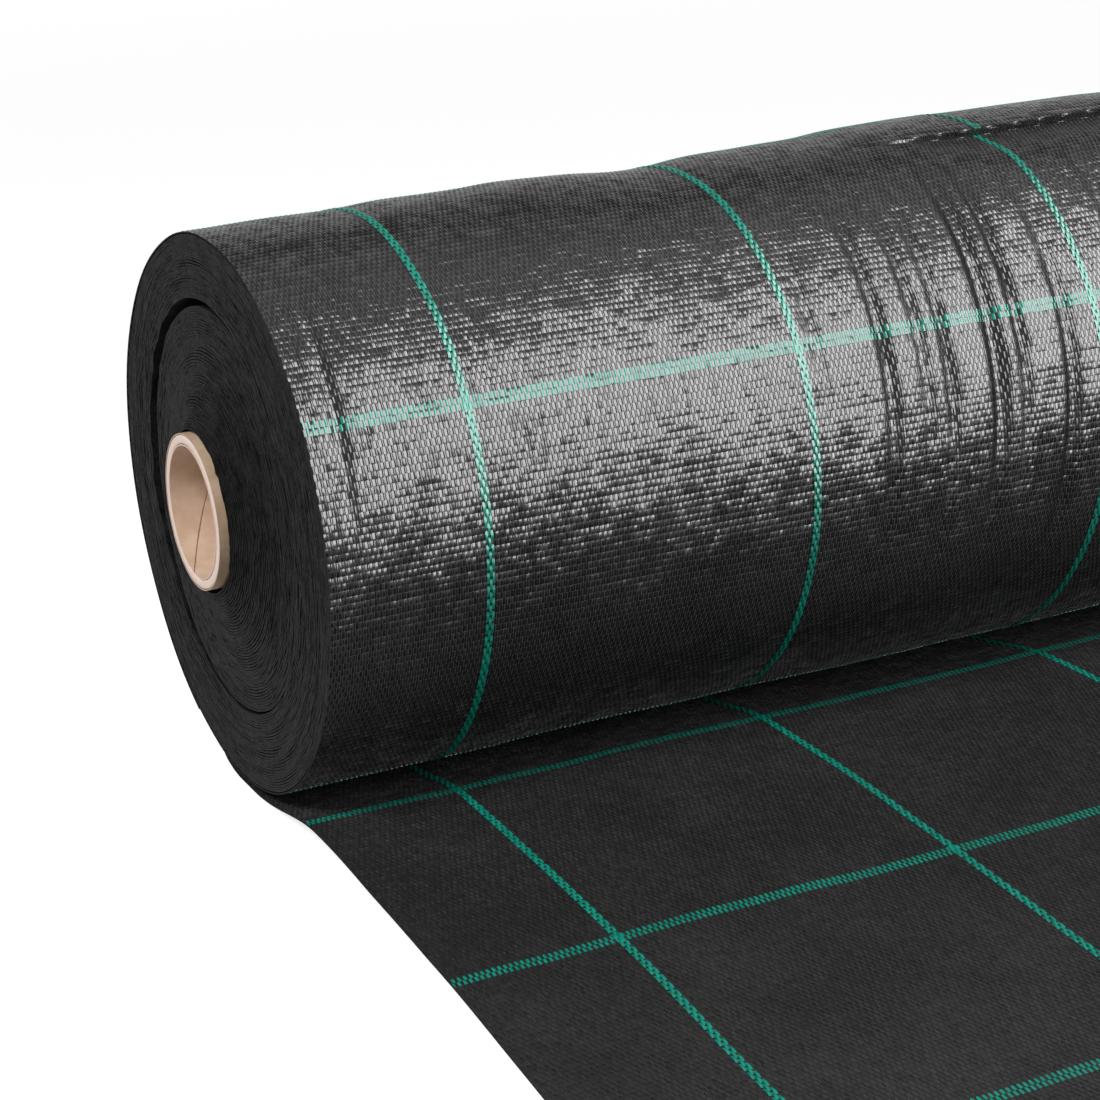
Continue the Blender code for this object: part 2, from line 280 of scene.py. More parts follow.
# Core cover
# The tube's outermost ply is a smoother, browner paper, glued on last over the board plies. It shows where
# the core stands out of the cloth.
cover_inner = 0.0444
cover_outer = 0.045
cover_material = paper_material(
    "kraft_paper_outside", (0.42, 0.29, 0.19), (0.52, 0.38, 0.27), (0.62, 0.47, 0.36), 0.0006
)
cover_profile = [
    (core_far_end, cover_outer),
    (core_far_end, cover_inner),
    (core_near_end, cover_inner),
    (core_near_end, cover_outer),
]
cover = turned_ring(cover_profile)
add_piece("core_cover", *cover, cover_material, "roll", ["core_cover_ply"], "kraft_paper")

# Core liner
# The innermost ply is one strip of paper wound on the mandrel first. Its edges meet in an open seam that
# runs up the bore as a helix, and the saw cuts it square with the tube at both ends.
liner_inner = 0.0381
liner_outer = 0.0387
liner_pitch = 0.105
liner_seam_gap = 0.0009
liner_seam_depth = 0.024
liner_steps = 96
least_width = 1e-5
liner_material = paper_material(
    "kraft_paper_inside", (0.60, 0.41, 0.29), (0.70, 0.51, 0.38), (0.90, 0.71, 0.61), 0.0006
)


def liner_strip():
    """A strip wound in a helix: its lower edge climbs by one pitch a turn, its upper edge lies a pitch less
    the seam above it, and both stop at the core's ends."""
    seam = core_near_end + liner_seam_depth
    width = liner_pitch - liner_seam_gap
    first = math.ceil((core_near_end - seam - width) / liner_pitch * liner_steps) - liner_steps
    last = math.floor((core_far_end - seam) / liner_pitch * liner_steps)
    turn = np.arange(first, last + 1) / liner_steps
    low = np.clip(seam + liner_pitch * turn, core_near_end, core_far_end)
    high = np.clip(seam + liner_pitch * turn + width, core_near_end, core_far_end)
    kept = high - low > least_width
    turn, low, high = turn[kept], low[kept], high[kept]
    corners = [(low, liner_inner), (high, liner_inner), (high, liner_outer), (low, liner_outer)]
    angle = 2 * math.pi * turn
    points = np.stack([around_axis(place, radius, angle) for place, radius in corners], axis=1)
    faces = grid_faces(len(turn), 4, False, True)
    end = 4 * (len(turn) - 1)
    caps = np.array([[0, 1, 2, 3], [end + 3, end + 2, end + 1, end]])
    flat = np.stack([np.stack([low, high, high, low], axis=1), np.tile(turn[:, None], 4)], axis=-1)
    return points, np.concatenate([faces, caps]), flat


add_piece(
    "core_liner", *liner_strip(), liner_material, "roll", ["core_liner_ply"], "kraft_paper"
)

# Starter tape
# A strip of amber packing tape, 48 mm wide, sticks the cloth's first edge to the core along its whole
# length. The first turn of cloth covers it.
starter_low, starter_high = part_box("starter_tape")
starter_inner = 0.0453
starter_outer = 0.0456
starter_middle = 60.0
starter_half_angle = 30.3
starter_steps = 24
starter_streak_scale = 220.0


def band_faces(stations, loop):
    """Faces of a closed loop of points carried along stations, with both ends closed by a ladder of quads.
    The loop holds one side's points and then the other side's in reverse."""
    sides = grid_faces(stations, loop, False, True)
    rung = np.arange(loop // 2 - 1)
    ladder = np.stack([rung, rung + 1, loop - 2 - rung, loop - 1 - rung], axis=1)
    return np.concatenate([sides, ladder, ladder[:, ::-1] + (stations - 1) * loop])


def band(upper, lower, flat):
    """A thick sheet between two grids of points: a row of the upper grid and the same row of the lower one
    in reverse make the loop. Both sides have the same flat place."""
    points = np.concatenate([upper, lower[:, ::-1]], axis=1)
    flat = np.concatenate([flat, flat[:, ::-1]], axis=1)
    return points, band_faces(points.shape[0], points.shape[1]), flat


def starter_strip():
    """A strip bent round the core: two arcs of one length, a tape's thickness apart."""
    start, end = starter_middle - starter_half_angle, starter_middle + starter_half_angle
    turn = np.radians(np.linspace(start, end, starter_steps))[:, None]
    place = np.array([[starter_low.x, starter_high.x]])
    flat = np.stack(np.broadcast_arrays(place, turn * starter_outer), axis=-1)
    upper = around_axis(place, starter_outer, turn)
    lower = around_axis(place, starter_inner, turn)
    return band(upper, lower, flat)


def tape_material(name, scale, colour_span, near, far, low_roughness, high_roughness):
    """Plastic tape, streaked softly in its colour and its gloss. Its shader is returned too."""
    material, shader = new_material(name)
    streaks = noise(material, own_place(material), scale)
    colour = blended_colour(material, graded(material, streaks, *colour_span), near, far)
    roughness = graded(material, streaks, *noise_span, low_roughness, high_roughness)
    link_input(material, colour, shader, "Base Color")
    link_input(material, roughness, shader, "Roughness")
    return material, shader


starter_material, _ = tape_material(
    "amber_tape", starter_streak_scale, (0, 1), (0.55, 0.40, 0.20), (0.68, 0.55, 0.34), 0.22, 0.4
)
add_piece(
    "starter_strip", *starter_strip(), starter_material, "roll", ["starter_tape"], "clear_tape"
)

# Inner winding
# The tight inner turns of black woven cloth, wound on the core and held by their own tightness. They have
# slipped a little towards the near end, most of all next to the core, and lean to one side in the slack
# between the two bundles. The ends of their cut edges stand out unevenly.
cloth_near_edge = -0.494
cloth_width = 1.0
inner_bore = 0.0462
inner_lean = 0.0045
inner_lean_angle = math.radians(190)
inner_low, inner_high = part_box("inner_winding")
inner_radius = (inner_high.y - inner_low.y) / 2
inner_turns = 46
inner_steps = 96
core_slip = 0.0115
slip_power = 2.2
rim_recess = 0.001
inner_rise = 0.0026
inner_edge_reach = 0.0011
wound_share = 0.9
edge_waves = 40
edge_kept, edge_changed, edge_own = 0.8, 0.2, 0.16
ring_waves = (1, 2, 3, 4, 5, 7, 9)
ring_reach = 0.0007
ring_drift = 34
belly_margin = 0.012
fuzz_scale = 520.0
patch_scale = 85.0
fuzz_height = 0.0009
edge_gloss = 0.06
random_edges = np.random.default_rng(11)


def ragged(count):
    """An uneven line round the roll, 1 at its furthest: the sum of waves of random size and phase, longest
    first."""
    order = np.arange(1, edge_waves + 1)
    size = random_edges.normal(size=edge_waves) / order**0.6
    phase = random_edges.uniform(0, 2 * math.pi, edge_waves)
    angle = np.linspace(0, 2 * math.pi, count, endpoint=False)[:, None]
    line = (size * np.sin(order * angle + phase)).sum(axis=1)
    return line / np.abs(line).max()


def uneven_rings(share, angle):
    """Radial unevenness of the turns: waves that run round the roll and drift from turn to turn. They are
    tallest half way through the bundle and die out at its two sides."""
    total = 0
    for order in ring_waves:
        size = random_edges.normal() / order**0.5
        drift_rate = random_edges.uniform(-ring_drift, ring_drift)
        phase = random_edges.uniform(0, 2 * math.pi)
        total = total + size * np.sin(order * angle + drift_rate * share + phase)
    return ring_reach * total * share * (1 - share) * 4


def winding(inner, outer, turns, steps, near_edge_at, lean, rise_at, belly):
    """One band wound in a spiral. Its radius grows evenly with its angle but for some unevenness, and its
    centre moves sideways with it. Each turn's ragged edge is its neighbour's with a little of its own. Each
    end of the band rises or sinks by itself, and between them it lies a little closer to the core, by the
    belly at the outermost turn."""
    count = turns * steps + 1
    turn = np.arange(count) / steps
    pitch = (outer - inner) / (turns + wound_share)
    lines = []
    line = ragged(steps)
    for _ in range(turns + 1):
        line = edge_kept * line + edge_changed * ragged(steps)
        lines.append(line + edge_own * random_edges.normal(size=steps))
    rough = np.concatenate(lines)[:count]
    bottom = inner + pitch * turn
    share = (bottom - inner) / (outer - inner)
    near = near_edge_at(share, rough)
    angle = 2 * math.pi * turn
    rings = uneven_rings(share, angle)
    rises = [rise_at(share, angle, across) + rings for across in (0, cloth_width)]
    thick = pitch * wound_share
    dip = belly * share**2
    upper = [(0, 0), (belly_margin, 1), (cloth_width - belly_margin, 1), (cloth_width, 0)]
    loop = [(thick, *stop) for stop in upper] + [(0, *stop) for stop in upper[::-1]]
    corners = []
    for height, across, dipped in loop:
        rise = rises[int(across > cloth_width / 2)]
        point = around_axis(near + across, bottom + height + rise - dipped * dip, angle)
        point[:, 1] += lean * share * math.cos(inner_lean_angle)
        point[:, 2] += lean * share * math.sin(inner_lean_angle)
        corners.append(point)
    points = np.stack(corners, axis=1)
    along = np.tile([across for _, across, _ in loop], (count, 1))
    round_roll = np.tile(angle[:, None] * outer, len(loop))
    return points, band_faces(count, len(loop)), np.stack([along, round_roll], axis=-1)


def edge_material():
    """The cut edges of many turns: black, dull and fuzzy, with a little dust and darker tufts."""
    material, shader = new_material("wound_cloth_edges")
    place = own_place(material)
    fuzz = noise(material, place, fuzz_scale, 4.0, 0.7)
    patch = noise(material, place, patch_scale, 4.0)
    both = computed(material, "ADD", fuzz, computed(material, "MULTIPLY", patch, 1.4))
    dust = graded(material, both, 0.9, 1.55)
    colour = blended_colour(material, dust, (0.003, 0.003, 0.0034), (0.020, 0.0196, 0.0196))
    link_input(material, colour, shader, "Base Color")
    link_input(material, graded(material, fuzz, *noise_span, 0.8, 0.55), shader, "Roughness")
    shader.inputs["Specular IOR Level"].default_value = edge_gloss
    roughen(material, shader, fuzz, fuzz_height, 0.87)
    return material


def inner_edge(share, rough):
    """The place of each inner turn's near edge: the nearer the core, the further it has slipped out."""
    slip = (core_slip + rim_recess) * (1 - share) ** slip_power
    return cloth_near_edge + rim_recess - slip + inner_edge_reach * rough


def inner_swell(share, angle, across):
    """The inner bundle is a little taller than it is wide, so the slack space is thin over and under it."""
    return inner_rise * share * np.sin(angle) ** 2


wound_material = edge_material()
inner_size = (inner_bore, inner_radius, inner_turns, inner_steps)
add_piece(
    "inner_turns",
    *winding(*inner_size, inner_edge, inner_lean, inner_swell, 0.0),
    wound_material,
    "roll",
    ["inner_winding"],
    "weed_cloth",
)

# Outer winding
# The looser outer turns of the same cloth, wound on over the inner ones and parted from them by a slack
# space. They keep their edges in line but for a ragged millimetre or two, and sag on top under their own
# weight.
roll_radius = 0.165
cloth_thickness = 0.0008
skin_gap = 0.0003
outer_bundle_inner = 0.1186
outer_bundle_outer = roll_radius - cloth_thickness - skin_gap
outer_turns = 34
outer_steps = 120
outer_recess = 0.0004
outer_edge_reach = 0.0013
outer_edge_calm = 0.6
outer_belly = 0.0072
sunk_power = 1.5
skin_rise = 0.0009
skin_wave_lengths = (0.31, 0.22, 0.13, 0.09, 0.07)
skin_wave_heights = (0.0005, 0.0004, 0.0003, 0.0002, 0.00012)
sag_angle = 70.0
sag_reach = 85.0
sag_spread = 0.03
sag_places = (-0.494, -0.42, -0.36, -0.27, -0.215, -0.165, -0.11, -0.05, 0.0, 0.1, 0.3, 0.506)
sag_depths = (0.01, 0.01, 0.0072, 0.0062, 0.0092, 0.0056, 0.0038, 0.0008, 0.0, 0.0, 0.0004, 0.002)
# Each pucker's place, half width, depth, the angle of its middle and how many degrees it reaches from it.
puckers = (
    (-0.475, 0.006, 0.0022, 150, 34),
    (-0.191, 0.007, 0.0014, 147, 30),
    (-0.147, 0.007, 0.0034, 158, 52),
    (-0.123, 0.006, 0.0025, 150, 46),
    (-0.107, 0.006, 0.0028, 160, 56),
    (-0.074, 0.009, 0.0046, 155, 60),
    (-0.056, 0.006, 0.0030, 150, 54),
    (-0.023, 0.008, 0.0032, 165, 60),
    (0.030, 0.009, 0.0020, 150, 55),
    (0.075, 0.008, 0.0016, 155, 50),
    (0.140, 0.010, 0.0013, 150, 60),
)
pucker_angle = 150
pucker_waves = 2.2
pucker_wander = 0.004
pucker_slant = 0.00028
fold_angle = 101.0
fold_place = -0.04
fold_slant = 18.0
fold_start, fold_rise = -0.09, 0.08
fold_end, fold_fall = 0.16, 0.1
fold_depth = 0.0052
fold_shift = 1.0
fold_step = 1.8
fold_ease = 15


def eased(share):
    """0 up to a share of 0, 1 from a share of 1, and a smooth step between the two."""
    share = np.clip(share, 0, 1)
    return share * share * (3 - 2 * share)


def hump(value, middle, half_width):
    """A smooth hump of height 1 at the middle that ends a half width to each side."""
    return eased(1 - np.abs(value - middle) / half_width)


def rippled(place, distance, seed, lengths, heights):
    """Gentle unevenness of cloth: waves of given lengths and heights in random directions."""
    random_waves = np.random.default_rng(seed)
    total = 0
    for length, height in zip(lengths, heights):
        direction = random_waves.uniform(0, math.pi)
        phase = random_waves.uniform(0, 2 * math.pi)
        along = place * math.cos(direction) + distance * math.sin(direction)
        total = total + height * np.sin(2 * math.pi * along / length + phase)
    return total


def sagged(place, angle):
    """How far the roll's top has sunk under its own weight: the depths at the sag places, blended with bell
    curves, times a smooth hump round the roll."""
    weights = np.exp(-(((np.asarray(place)[..., None] - sag_places) / sag_spread) ** 2))
    depth = (weights * sag_depths).sum(axis=-1) / weights.sum(axis=-1)
    return depth * hump((angle - sag_angle + 180) % 360 - 180, 0, sag_reach)


def fold_line(place):
    """The angle of the step under the fold at the roll's top, and the fold's share of its full size."""
    share = eased((place - fold_start) / fold_rise) * (1 - eased((place - fold_end) / fold_fall))
    return fold_angle - fold_slant * (place - fold_place), share


def skin_depth(place, angle):
    """How far the skin lies inside its round shape: the sag, gentle waves, each pucker as a narrow valley
    across the cloth, and under a fold at the top a steep step down, which eases off down the front. A depth
    below zero stands out a little."""
    distance = roll_radius * np.radians(angle + 90)
    depth = sagged(place, angle) + rippled(place, distance, 5, skin_wave_lengths, skin_wave_heights)
    down = angle - pucker_angle
    wander = pucker_wander * np.sin(np.radians(pucker_waves * down)) - pucker_slant * down
    for middle, half_width, deep, front, reach in puckers:
        depth = depth + deep * hump(place - wander, middle, half_width) * hump(angle, front, reach)
    groove, fold = fold_line(place)
    step = np.clip((angle - groove + fold_shift) / fold_step, 0, 1)
    left = 1 - eased((angle - groove - fold_shift) / fold_ease)
    return np.maximum(depth + fold * fold_depth * step * left, -skin_rise)


def outer_edge(share, rough):
    """The place of each outer turn's near edge, which is the less ragged the further out it lies."""
    return cloth_near_edge + outer_recess + outer_edge_reach * rough * (1 - outer_edge_calm * share)


def outer_sinking(share, angle, across):
    """The outer turns sink with the skin that lies on them, and the less the further in they are."""
    place = cloth_near_edge + across + 0 * angle
    return -(share**sunk_power) * skin_depth(place, np.degrees(angle) % 360)


outer_size = (outer_bundle_inner, outer_bundle_outer, outer_turns, outer_steps)
add_piece(
    "outer_turns",
    *winding(*outer_size, outer_edge, 0.0, outer_sinking, outer_belly),
    wound_material,
    "roll",
    ["outer_winding"],
    "weed_cloth",
)

# Outermost turn
# The visible skin of the roll: black polypropylene cloth, plain woven from flat glossy tapes, 65 narrow
# ones lengthwise and 26 wide ones crosswise in 100 mm. It is puckered where it was wound unevenly, a fold
# lies on top, and its inner end is tucked under its outer end behind the roll.
outer_start_angle = -64.0
outer_end_angle = 308.0
tuck_start_angle = 270.0
tuck_end_angle = 296.0
tuck_depth = 0.0011
start_ease, end_ease = 14, 30
fold_overhang = 2.4
angle_stops = ((outer_start_angle, 36), (60, 20), (90, 46), (106, 80), (200, 36), (outer_end_angle, 0))
place_stops = (
    (cloth_near_edge, 18), (-0.46, 38), (-0.21, 124), (0.1, 42), (cloth_near_edge + cloth_width, 0)
)
marker_spacing = 0.2
warp_pitch = marker_spacing / 130
weft_pitch = marker_spacing / 52
free_length = 0.62
tape_gloss = 0.28
low_gloss_share = 0.1
gloss_fade_start, gloss_fade_end = 0.34, 0.56
# How far the top tape's normal leans at its edges, and how far chance tilts it: by cell, by lengthwise
# tape, by crosswise tape and by cockle.
warp_lean_across, weft_lean_across = 0.15, 1.9
warp_lean_along, weft_lean_along = 0.42, 0.3
cell_tilt, end_tilt, pick_tilt, cockle_tilt = 0.2, 0.4, 0.6, 0.45
pick_pace, end_pace, tape_apart = 0.09, 0.08, 1.7
# Where the gaps between tapes begin and end: there the gloss is duller and the colour is darkened with
# painted shade.
warp_gap, weft_gap, weft_end_gap = (0.42, 0.5), (0.38, 0.48), (0.22, 0.44)
cockle_scale = 80.0
wear_scale = 14.0
sheen_roughness = 0.35


def skin_radius(place, angle):
    """Radius of the skin's outer side: round but for its waves, and drawn in where it is tucked under."""
    tucked = tuck_depth * eased((angle - tuck_start_angle) / (tuck_end_angle - tuck_start_angle))
    at_end = eased((angle - outer_start_angle) / start_ease) * eased((outer_end_angle - angle) / end_ease)
    return roll_radius - tucked - skin_depth(place, angle) * at_end


def skin_point(place, angle, height):
    """A point on the outermost turn, at a place along the axis, an angle in degrees and a height over it.
    The fold's edge hangs over the step below it."""
    groove, fold = fold_line(place)
    near_step = np.clip(1 - np.abs(angle - groove + fold_shift) / fold_step, 0, 1)
    hanging = fold_overhang * np.sqrt(fold) * near_step
    return around_axis(place, skin_radius(place, angle) + height, np.radians(angle + hanging))


def cloth_distance(angle):
    """The distance along the flat cloth, from the free end's cut, of an angle on the roll."""
    return free_length + roll_radius * np.radians(angle + 90)


def dull_at_low_angles(material, shader, gloss):
    """Woven tapes hide one another's shine where they are looked along, so the gloss fades there."""
    facing = add_node(material, "ShaderNodeLayerWeight", {"Blend": 0.5}).outputs["Facing"]
    low_gloss = low_gloss_share * gloss
    faded = graded(material, facing, gloss_fade_start, gloss_fade_end, gloss, low_gloss)
    link_input(material, faded, shader, "Specular IOR Level")


def woven_material(name, dark, light, low_roughness, high_roughness, fuzz):
    """Plain weave of flat tapes. A cell's row and column numbers say which tape is on top: lengthwise if
    their sum is even. The top tape's normal leans off its middle line slowly along it, because it arches
    over the tape below, and sharply at its two edges. Random numbers of each tape and each cell tilt it
    a little more. The gaps between tapes are dull, and their colour is darkened with painted shade."""
    material, shader = new_material(name)

    def plus(first, second):
        return computed(material, "ADD", first, second)

    def times(first, second):
        return computed(material, "MULTIPLY", first, second)

    def size_of(value):
        return computed(material, "ABSOLUTE", value)

    def about_zero(value, share):
        """A random number about 0.5, moved to about 0 and scaled."""
        return times(computed(material, "SUBTRACT", value, 0.5), share)

    def joined(x, y, z=0.0):
        """A vector of three values."""
        return add_node(material, "ShaderNodeCombineXYZ", {"X": x, "Y": y, "Z": z}).outputs[0]

    def parts_of(vector):
        """The three values of a vector, by name."""
        return add_node(material, "ShaderNodeSeparateXYZ", {"Vector": vector}).outputs

    def cell_and_place(value):
        """The number of the cell that a value falls in, and its place there, 0 in the middle."""
        cell = computed(material, "FLOOR", value)
        from_edge = computed(material, "SUBTRACT", value, cell)
        return cell, computed(material, "SUBTRACT", from_edge, 0.5)

    flat = add_node(material, "ShaderNodeUVMap", uv_map="flat_place").outputs[0]
    split = parts_of(flat)
    across = computed(material, "DIVIDE", split["X"], warp_pitch)
    along = computed(material, "DIVIDE", split["Y"], weft_pitch)
    column, in_column = cell_and_place(across)
    row, in_row = cell_and_place(along)
    weft_on_top = computed(material, "FLOORED_MODULO", plus(row, column), 2.0)

    def chosen(when_warp, when_weft):
        """The first value where a lengthwise tape is on top, and otherwise the second."""
        sockets = {"Factor": weft_on_top, "A": when_warp, "B": when_weft}
        return add_node(material, "ShaderNodeMix", sockets, data_type="FLOAT").outputs[0]

    drawn = {"Vector": joined(column, row)}
    drawn_cell = add_node(material, "ShaderNodeTexWhiteNoise", drawn, noise_dimensions="2D")
    chance = parts_of(drawn_cell.outputs["Color"])
    pick_place = joined(times(across, pick_pace), times(row, tape_apart))
    end_place = joined(times(column, tape_apart), times(along, end_pace))
    pick_twist = noise(material, pick_place, 1.0, 1.0)
    end_twist = noise(material, end_place, 1.0, 1.0)
    cockle = {"Vector": flat, "Scale": cockle_scale, "Detail": 3.0, "Roughness": 0.65}
    cockles = parts_of(add_node(material, "ShaderNodeTexNoise", cockle).outputs["Color"])
    lean_across = chosen(times(in_column, warp_lean_across), times(in_column, weft_lean_across))
    lean_along = chosen(times(in_row, warp_lean_along), times(in_row, weft_lean_along))
    tilt_across = plus(
        about_zero(chance["X"], cell_tilt),
        plus(about_zero(end_twist, end_tilt), about_zero(cockles["X"], cockle_tilt)),
    )
    tilt_along = plus(
        about_zero(chance["Y"], cell_tilt),
        plus(about_zero(pick_twist, pick_tilt), about_zero(cockles["Y"], cockle_tilt)),
    )
    lean = joined(plus(lean_across, tilt_across), plus(lean_along, tilt_along), 1.0)
    unit = add_node(material, "ShaderNodeVectorMath", {0: lean}, operation="NORMALIZE").outputs[0]
    half = (0.5, 0.5, 0.5)
    coding = {0: unit, 1: half, 2: half}
    coded = add_node(material, "ShaderNodeVectorMath", coding, operation="MULTIPLY_ADD").outputs[0]
    normal = add_node(
        material, "ShaderNodeNormalMap", {"Color": coded}, space="TANGENT", uv_map="flat_place"
    ).outputs[0]
    link_input(material, normal, shader, "Normal")
    from_middle = chosen(size_of(in_column), size_of(in_row))
    from_crossing = chosen(size_of(in_row), size_of(in_column))
    warp_side = graded(material, from_middle, *warp_gap)
    weft_side = graded(material, from_middle, *weft_gap)
    weft_end = graded(material, from_crossing, *weft_end_gap)
    gap_with_painted_shade = chosen(warp_side, computed(material, "MAXIMUM", weft_side, weft_end))
    place = own_place(material)
    wear = noise(material, place, wear_scale, 4.0)
    tape_colour = blended_colour(material, times(wear, plus(0.6, chance["Z"])), dark, light)
    # Painted shade: the gaps between tapes are darkened to near black, standing in for the shade that falls
    # between them.
    colour = blended_colour(material, gap_with_painted_shade, tape_colour, (0.003, 0.003, 0.003))
    link_input(material, colour, shader, "Base Color")
    worn = plus(wear, times(chance["Z"], 0.4))
    tape_roughness = graded(material, worn, 0.35, 0.95, low_roughness, high_roughness)
    link_input(material, plus(tape_roughness, times(gap_with_painted_shade, 0.5)), shader, "Roughness")
    dull_at_low_angles(material, shader, tape_gloss)
    shader.inputs["Sheen Weight"].default_value = fuzz
    shader.inputs["Sheen Roughness"].default_value = sheen_roughness
    return material


cloth_material = woven_material(
    "woven_cloth", (0.003, 0.003, 0.0033), (0.0125, 0.0122, 0.0122), 0.16, 0.28, 0.11
)


def uneven_stations(stops):
    """Stations spaced evenly from each stop to the next. A stop is its value and the number of stations."""
    spans = [
        np.linspace(start, end, count, endpoint=False)
        for (start, count), (end, _) in zip(stops, stops[1:])
    ]
    return np.concatenate([*spans, [stops[-1][0]]])


def outer_skin():
    """A band round the roll, from the place where it meets the free sheet to its tucked end. Its stations
    stand closest at the fold and the puckers."""
    angle = uneven_stations(angle_stops)[:, None]
    place = uneven_stations(place_stops)[None, :]
    upper, lower = (skin_point(place, angle, height) for height in (0, -cloth_thickness))
    flat = np.broadcast_arrays(place - cloth_near_edge, cloth_distance(angle))
    return band(upper, lower, np.stack(flat, axis=-1))


outermost_turn = add_piece(
    "outermost_turn", *outer_skin(), cloth_material, "roll", ["outer_turn"], "weed_cloth"
)

# Green marker tapes on the roll
# Green tapes woven in among the black ones: three side by side in each lengthwise line and two in each
# crosswise line. Each goes over one black tape and under the next, so a line looks twisted.
marker_edge_margin = 0.0917
warp_line_count = 5
warp_line_tapes = 3
weft_line_tapes = 2
grid_lines_on_roll = 4
warp_cell_steps = 4
weft_cell_steps = 3
front_marker_angle = 151.5
low_marker_angle = 242.0
marker_rise = 0.0003
warp_lift = 0.85
weft_lift = 0.1
marker_thickness = 0.00015
marker_edge_drop = 0.00006
tape_share = 0.96
marker_end_margin = 0.0005
marker_end_angle = 296.0
flat_step = 0.001
green_streak_scale = 160.0
green_gloss = 0.26
green_near, green_far = (0.001, 0.15, 0.105), (0.004, 0.25, 0.182)
green_material, green_shader = tape_material(
    "green_tape", green_streak_scale, noise_span, green_near, green_far, 0.26, 0.4
)
dull_at_low_angles(green_material, green_shader, green_gloss)


def woven_tape(point_at, middle, along, pitch, crossed_pitch, number, lengthwise):
    """One tape that goes over and under: its height is a cosine along it with a crest in every second cell,
    those whose row and column numbers fit this tape. It is flat with its two edges turned down."""
    half = tape_share * pitch / 2
    sideways = middle + np.array([[-half, 0, half]])
    edge_drop = np.array([[-marker_edge_drop, 0, -marker_edge_drop]])
    step = along[:, None]
    cell = step / crossed_pitch - 0.5
    parity = number if lengthwise else number + 1
    lift = warp_lift if lengthwise else weft_lift
    height = marker_rise * (np.cos(math.pi * (cell + parity)) + lift) + edge_drop
    place = (sideways, step) if lengthwise else (step, sideways)
    return point_at(*place, height), point_at(*place, height - marker_thickness)


def joined_bands(bands):
    """Several closed bands as one piece, each keeping its own faces."""
    points, faces, flats, first = [], [], [], 0
    for band_points, band_quads, band_flat in bands:
        points.append(band_points.reshape(-1, 3))
        flats.append(band_flat.reshape(-1, 2))
        faces.append(band_quads + first)
        first += len(points[-1])
    return np.concatenate(points), np.concatenate(faces), np.concatenate(flats)


def tape_middles(middle, tapes, pitch):
    """The number and middle of each tape in a line, in the middle of its own column or row of the weave."""
    first = round(middle / pitch - tapes / 2)
    return [(first + index, (first + index + 0.5) * pitch) for index in range(tapes)]


def marker_line(middle, start, end, point_at, lengthwise):
    """A line of green tapes side by side, from one place along it to another. A point's flat place is its
    numbers across and along its tape, in steps."""
    if lengthwise:
        tapes, pitch, crossed_pitch, steps = warp_line_tapes, warp_pitch, weft_pitch, warp_cell_steps
    else:
        tapes, pitch, crossed_pitch, steps = weft_line_tapes, weft_pitch, warp_pitch, weft_cell_steps
    along = np.arange(start, end, crossed_pitch / steps)
    bands = []
    for number, place in tape_middles(middle, tapes, pitch):
        upper, lower = woven_tape(point_at, place, along, pitch, crossed_pitch, number, lengthwise)
        row, column = np.indices(upper.shape[:2])
        bands.append(band(upper, lower, flat_step * np.stack([column, row], axis=-1)))
    return joined_bands(bands)


def roll_point(across, distance, height):
    """A point on the roll's skin from its place on the flat cloth."""
    angle = np.degrees((distance - free_length) / roll_radius) - 90
    return skin_point(cloth_near_edge + across, angle, height)


def add_lengthwise_line(line, side, start, end, point_at, body):
    """A lengthwise line on the roll or on the sheet, as one piece."""
    middle = marker_edge_margin + (line - 1) * marker_spacing
    shape = marker_line(middle, start, end, point_at, True)
    nodes = [f"{side}_warp_marker_{line}"]
    add_piece(f"{side}_lengthwise_line_{line}", *shape, green_material, body, nodes, "green_tape")


def add_crosswise_line(line, side, distance, point_at, body):
    """A crosswise line at a distance along the cloth, from one edge of it to the other, as one piece."""
    end = cloth_width - marker_end_margin
    shape = marker_line(distance, marker_end_margin, end, point_at, False)
    nodes = [f"{side}_weft_marker_{line}"]
    add_piece(f"{side}_crosswise_line_{line}", *shape, green_material, body, nodes, "green_tape")


for line in range(1, warp_line_count + 1):
    start = cloth_distance(outer_start_angle) + marker_end_margin
    add_lengthwise_line(line, "roll", start, cloth_distance(marker_end_angle), roll_point, "roll")
for line in range(1, grid_lines_on_roll + 1):
    below = math.degrees((grid_lines_on_roll - line) * marker_spacing / roll_radius)
    distance = cloth_distance(front_marker_angle - below)
    add_crosswise_line(line, "roll", distance, roll_point, "roll")
low_line = grid_lines_on_roll + 1
add_crosswise_line(low_line, "roll", cloth_distance(low_marker_angle), roll_point, "roll")

# Free sheet
# The cloth's outer end, unrolled on the ground towards the camera. Its colour is painted lighter than the
# roll's cloth, as painted light on the sheet. It keeps a low wave of slack in front of the roll, drifts a
# little to one side, and behind the roll its lip rises to meet the outermost turn.
sheet_stations = 132
sheet_places = 201
wave_height = 0.012
wave_start = 0.02
wave_crest = 0.12
wave_end = 0.6
lift_off = 0.03
lip_end_angle = -62.0
lip_handle_share = 1 / 3
lip_stations = 60
drift = 0.065
lip_drift = 0.006
lip_drift_reach = 0.07
half_step = 0.0005
calm_start, calm_ease = 0.05, 0.06
cut_end_ease = 0.03
sheet_lift = 0.0007
sheet_wave_lengths = (0.27, 0.19, 0.11, 0.08, 0.06)
sheet_wave_heights = (0.0007, 0.0005, 0.0003, 0.0002, 0.00012)
sheet_weft_count = 3


def wave_at(behind):
    """Height of the sheet's underside at a distance behind the roll's lowest line."""
    rise = eased((-behind - wave_start) / (wave_crest - wave_start))
    fall = eased((-behind - wave_crest) / (wave_end - wave_crest))
    return wave_height * rise * (1 - fall)


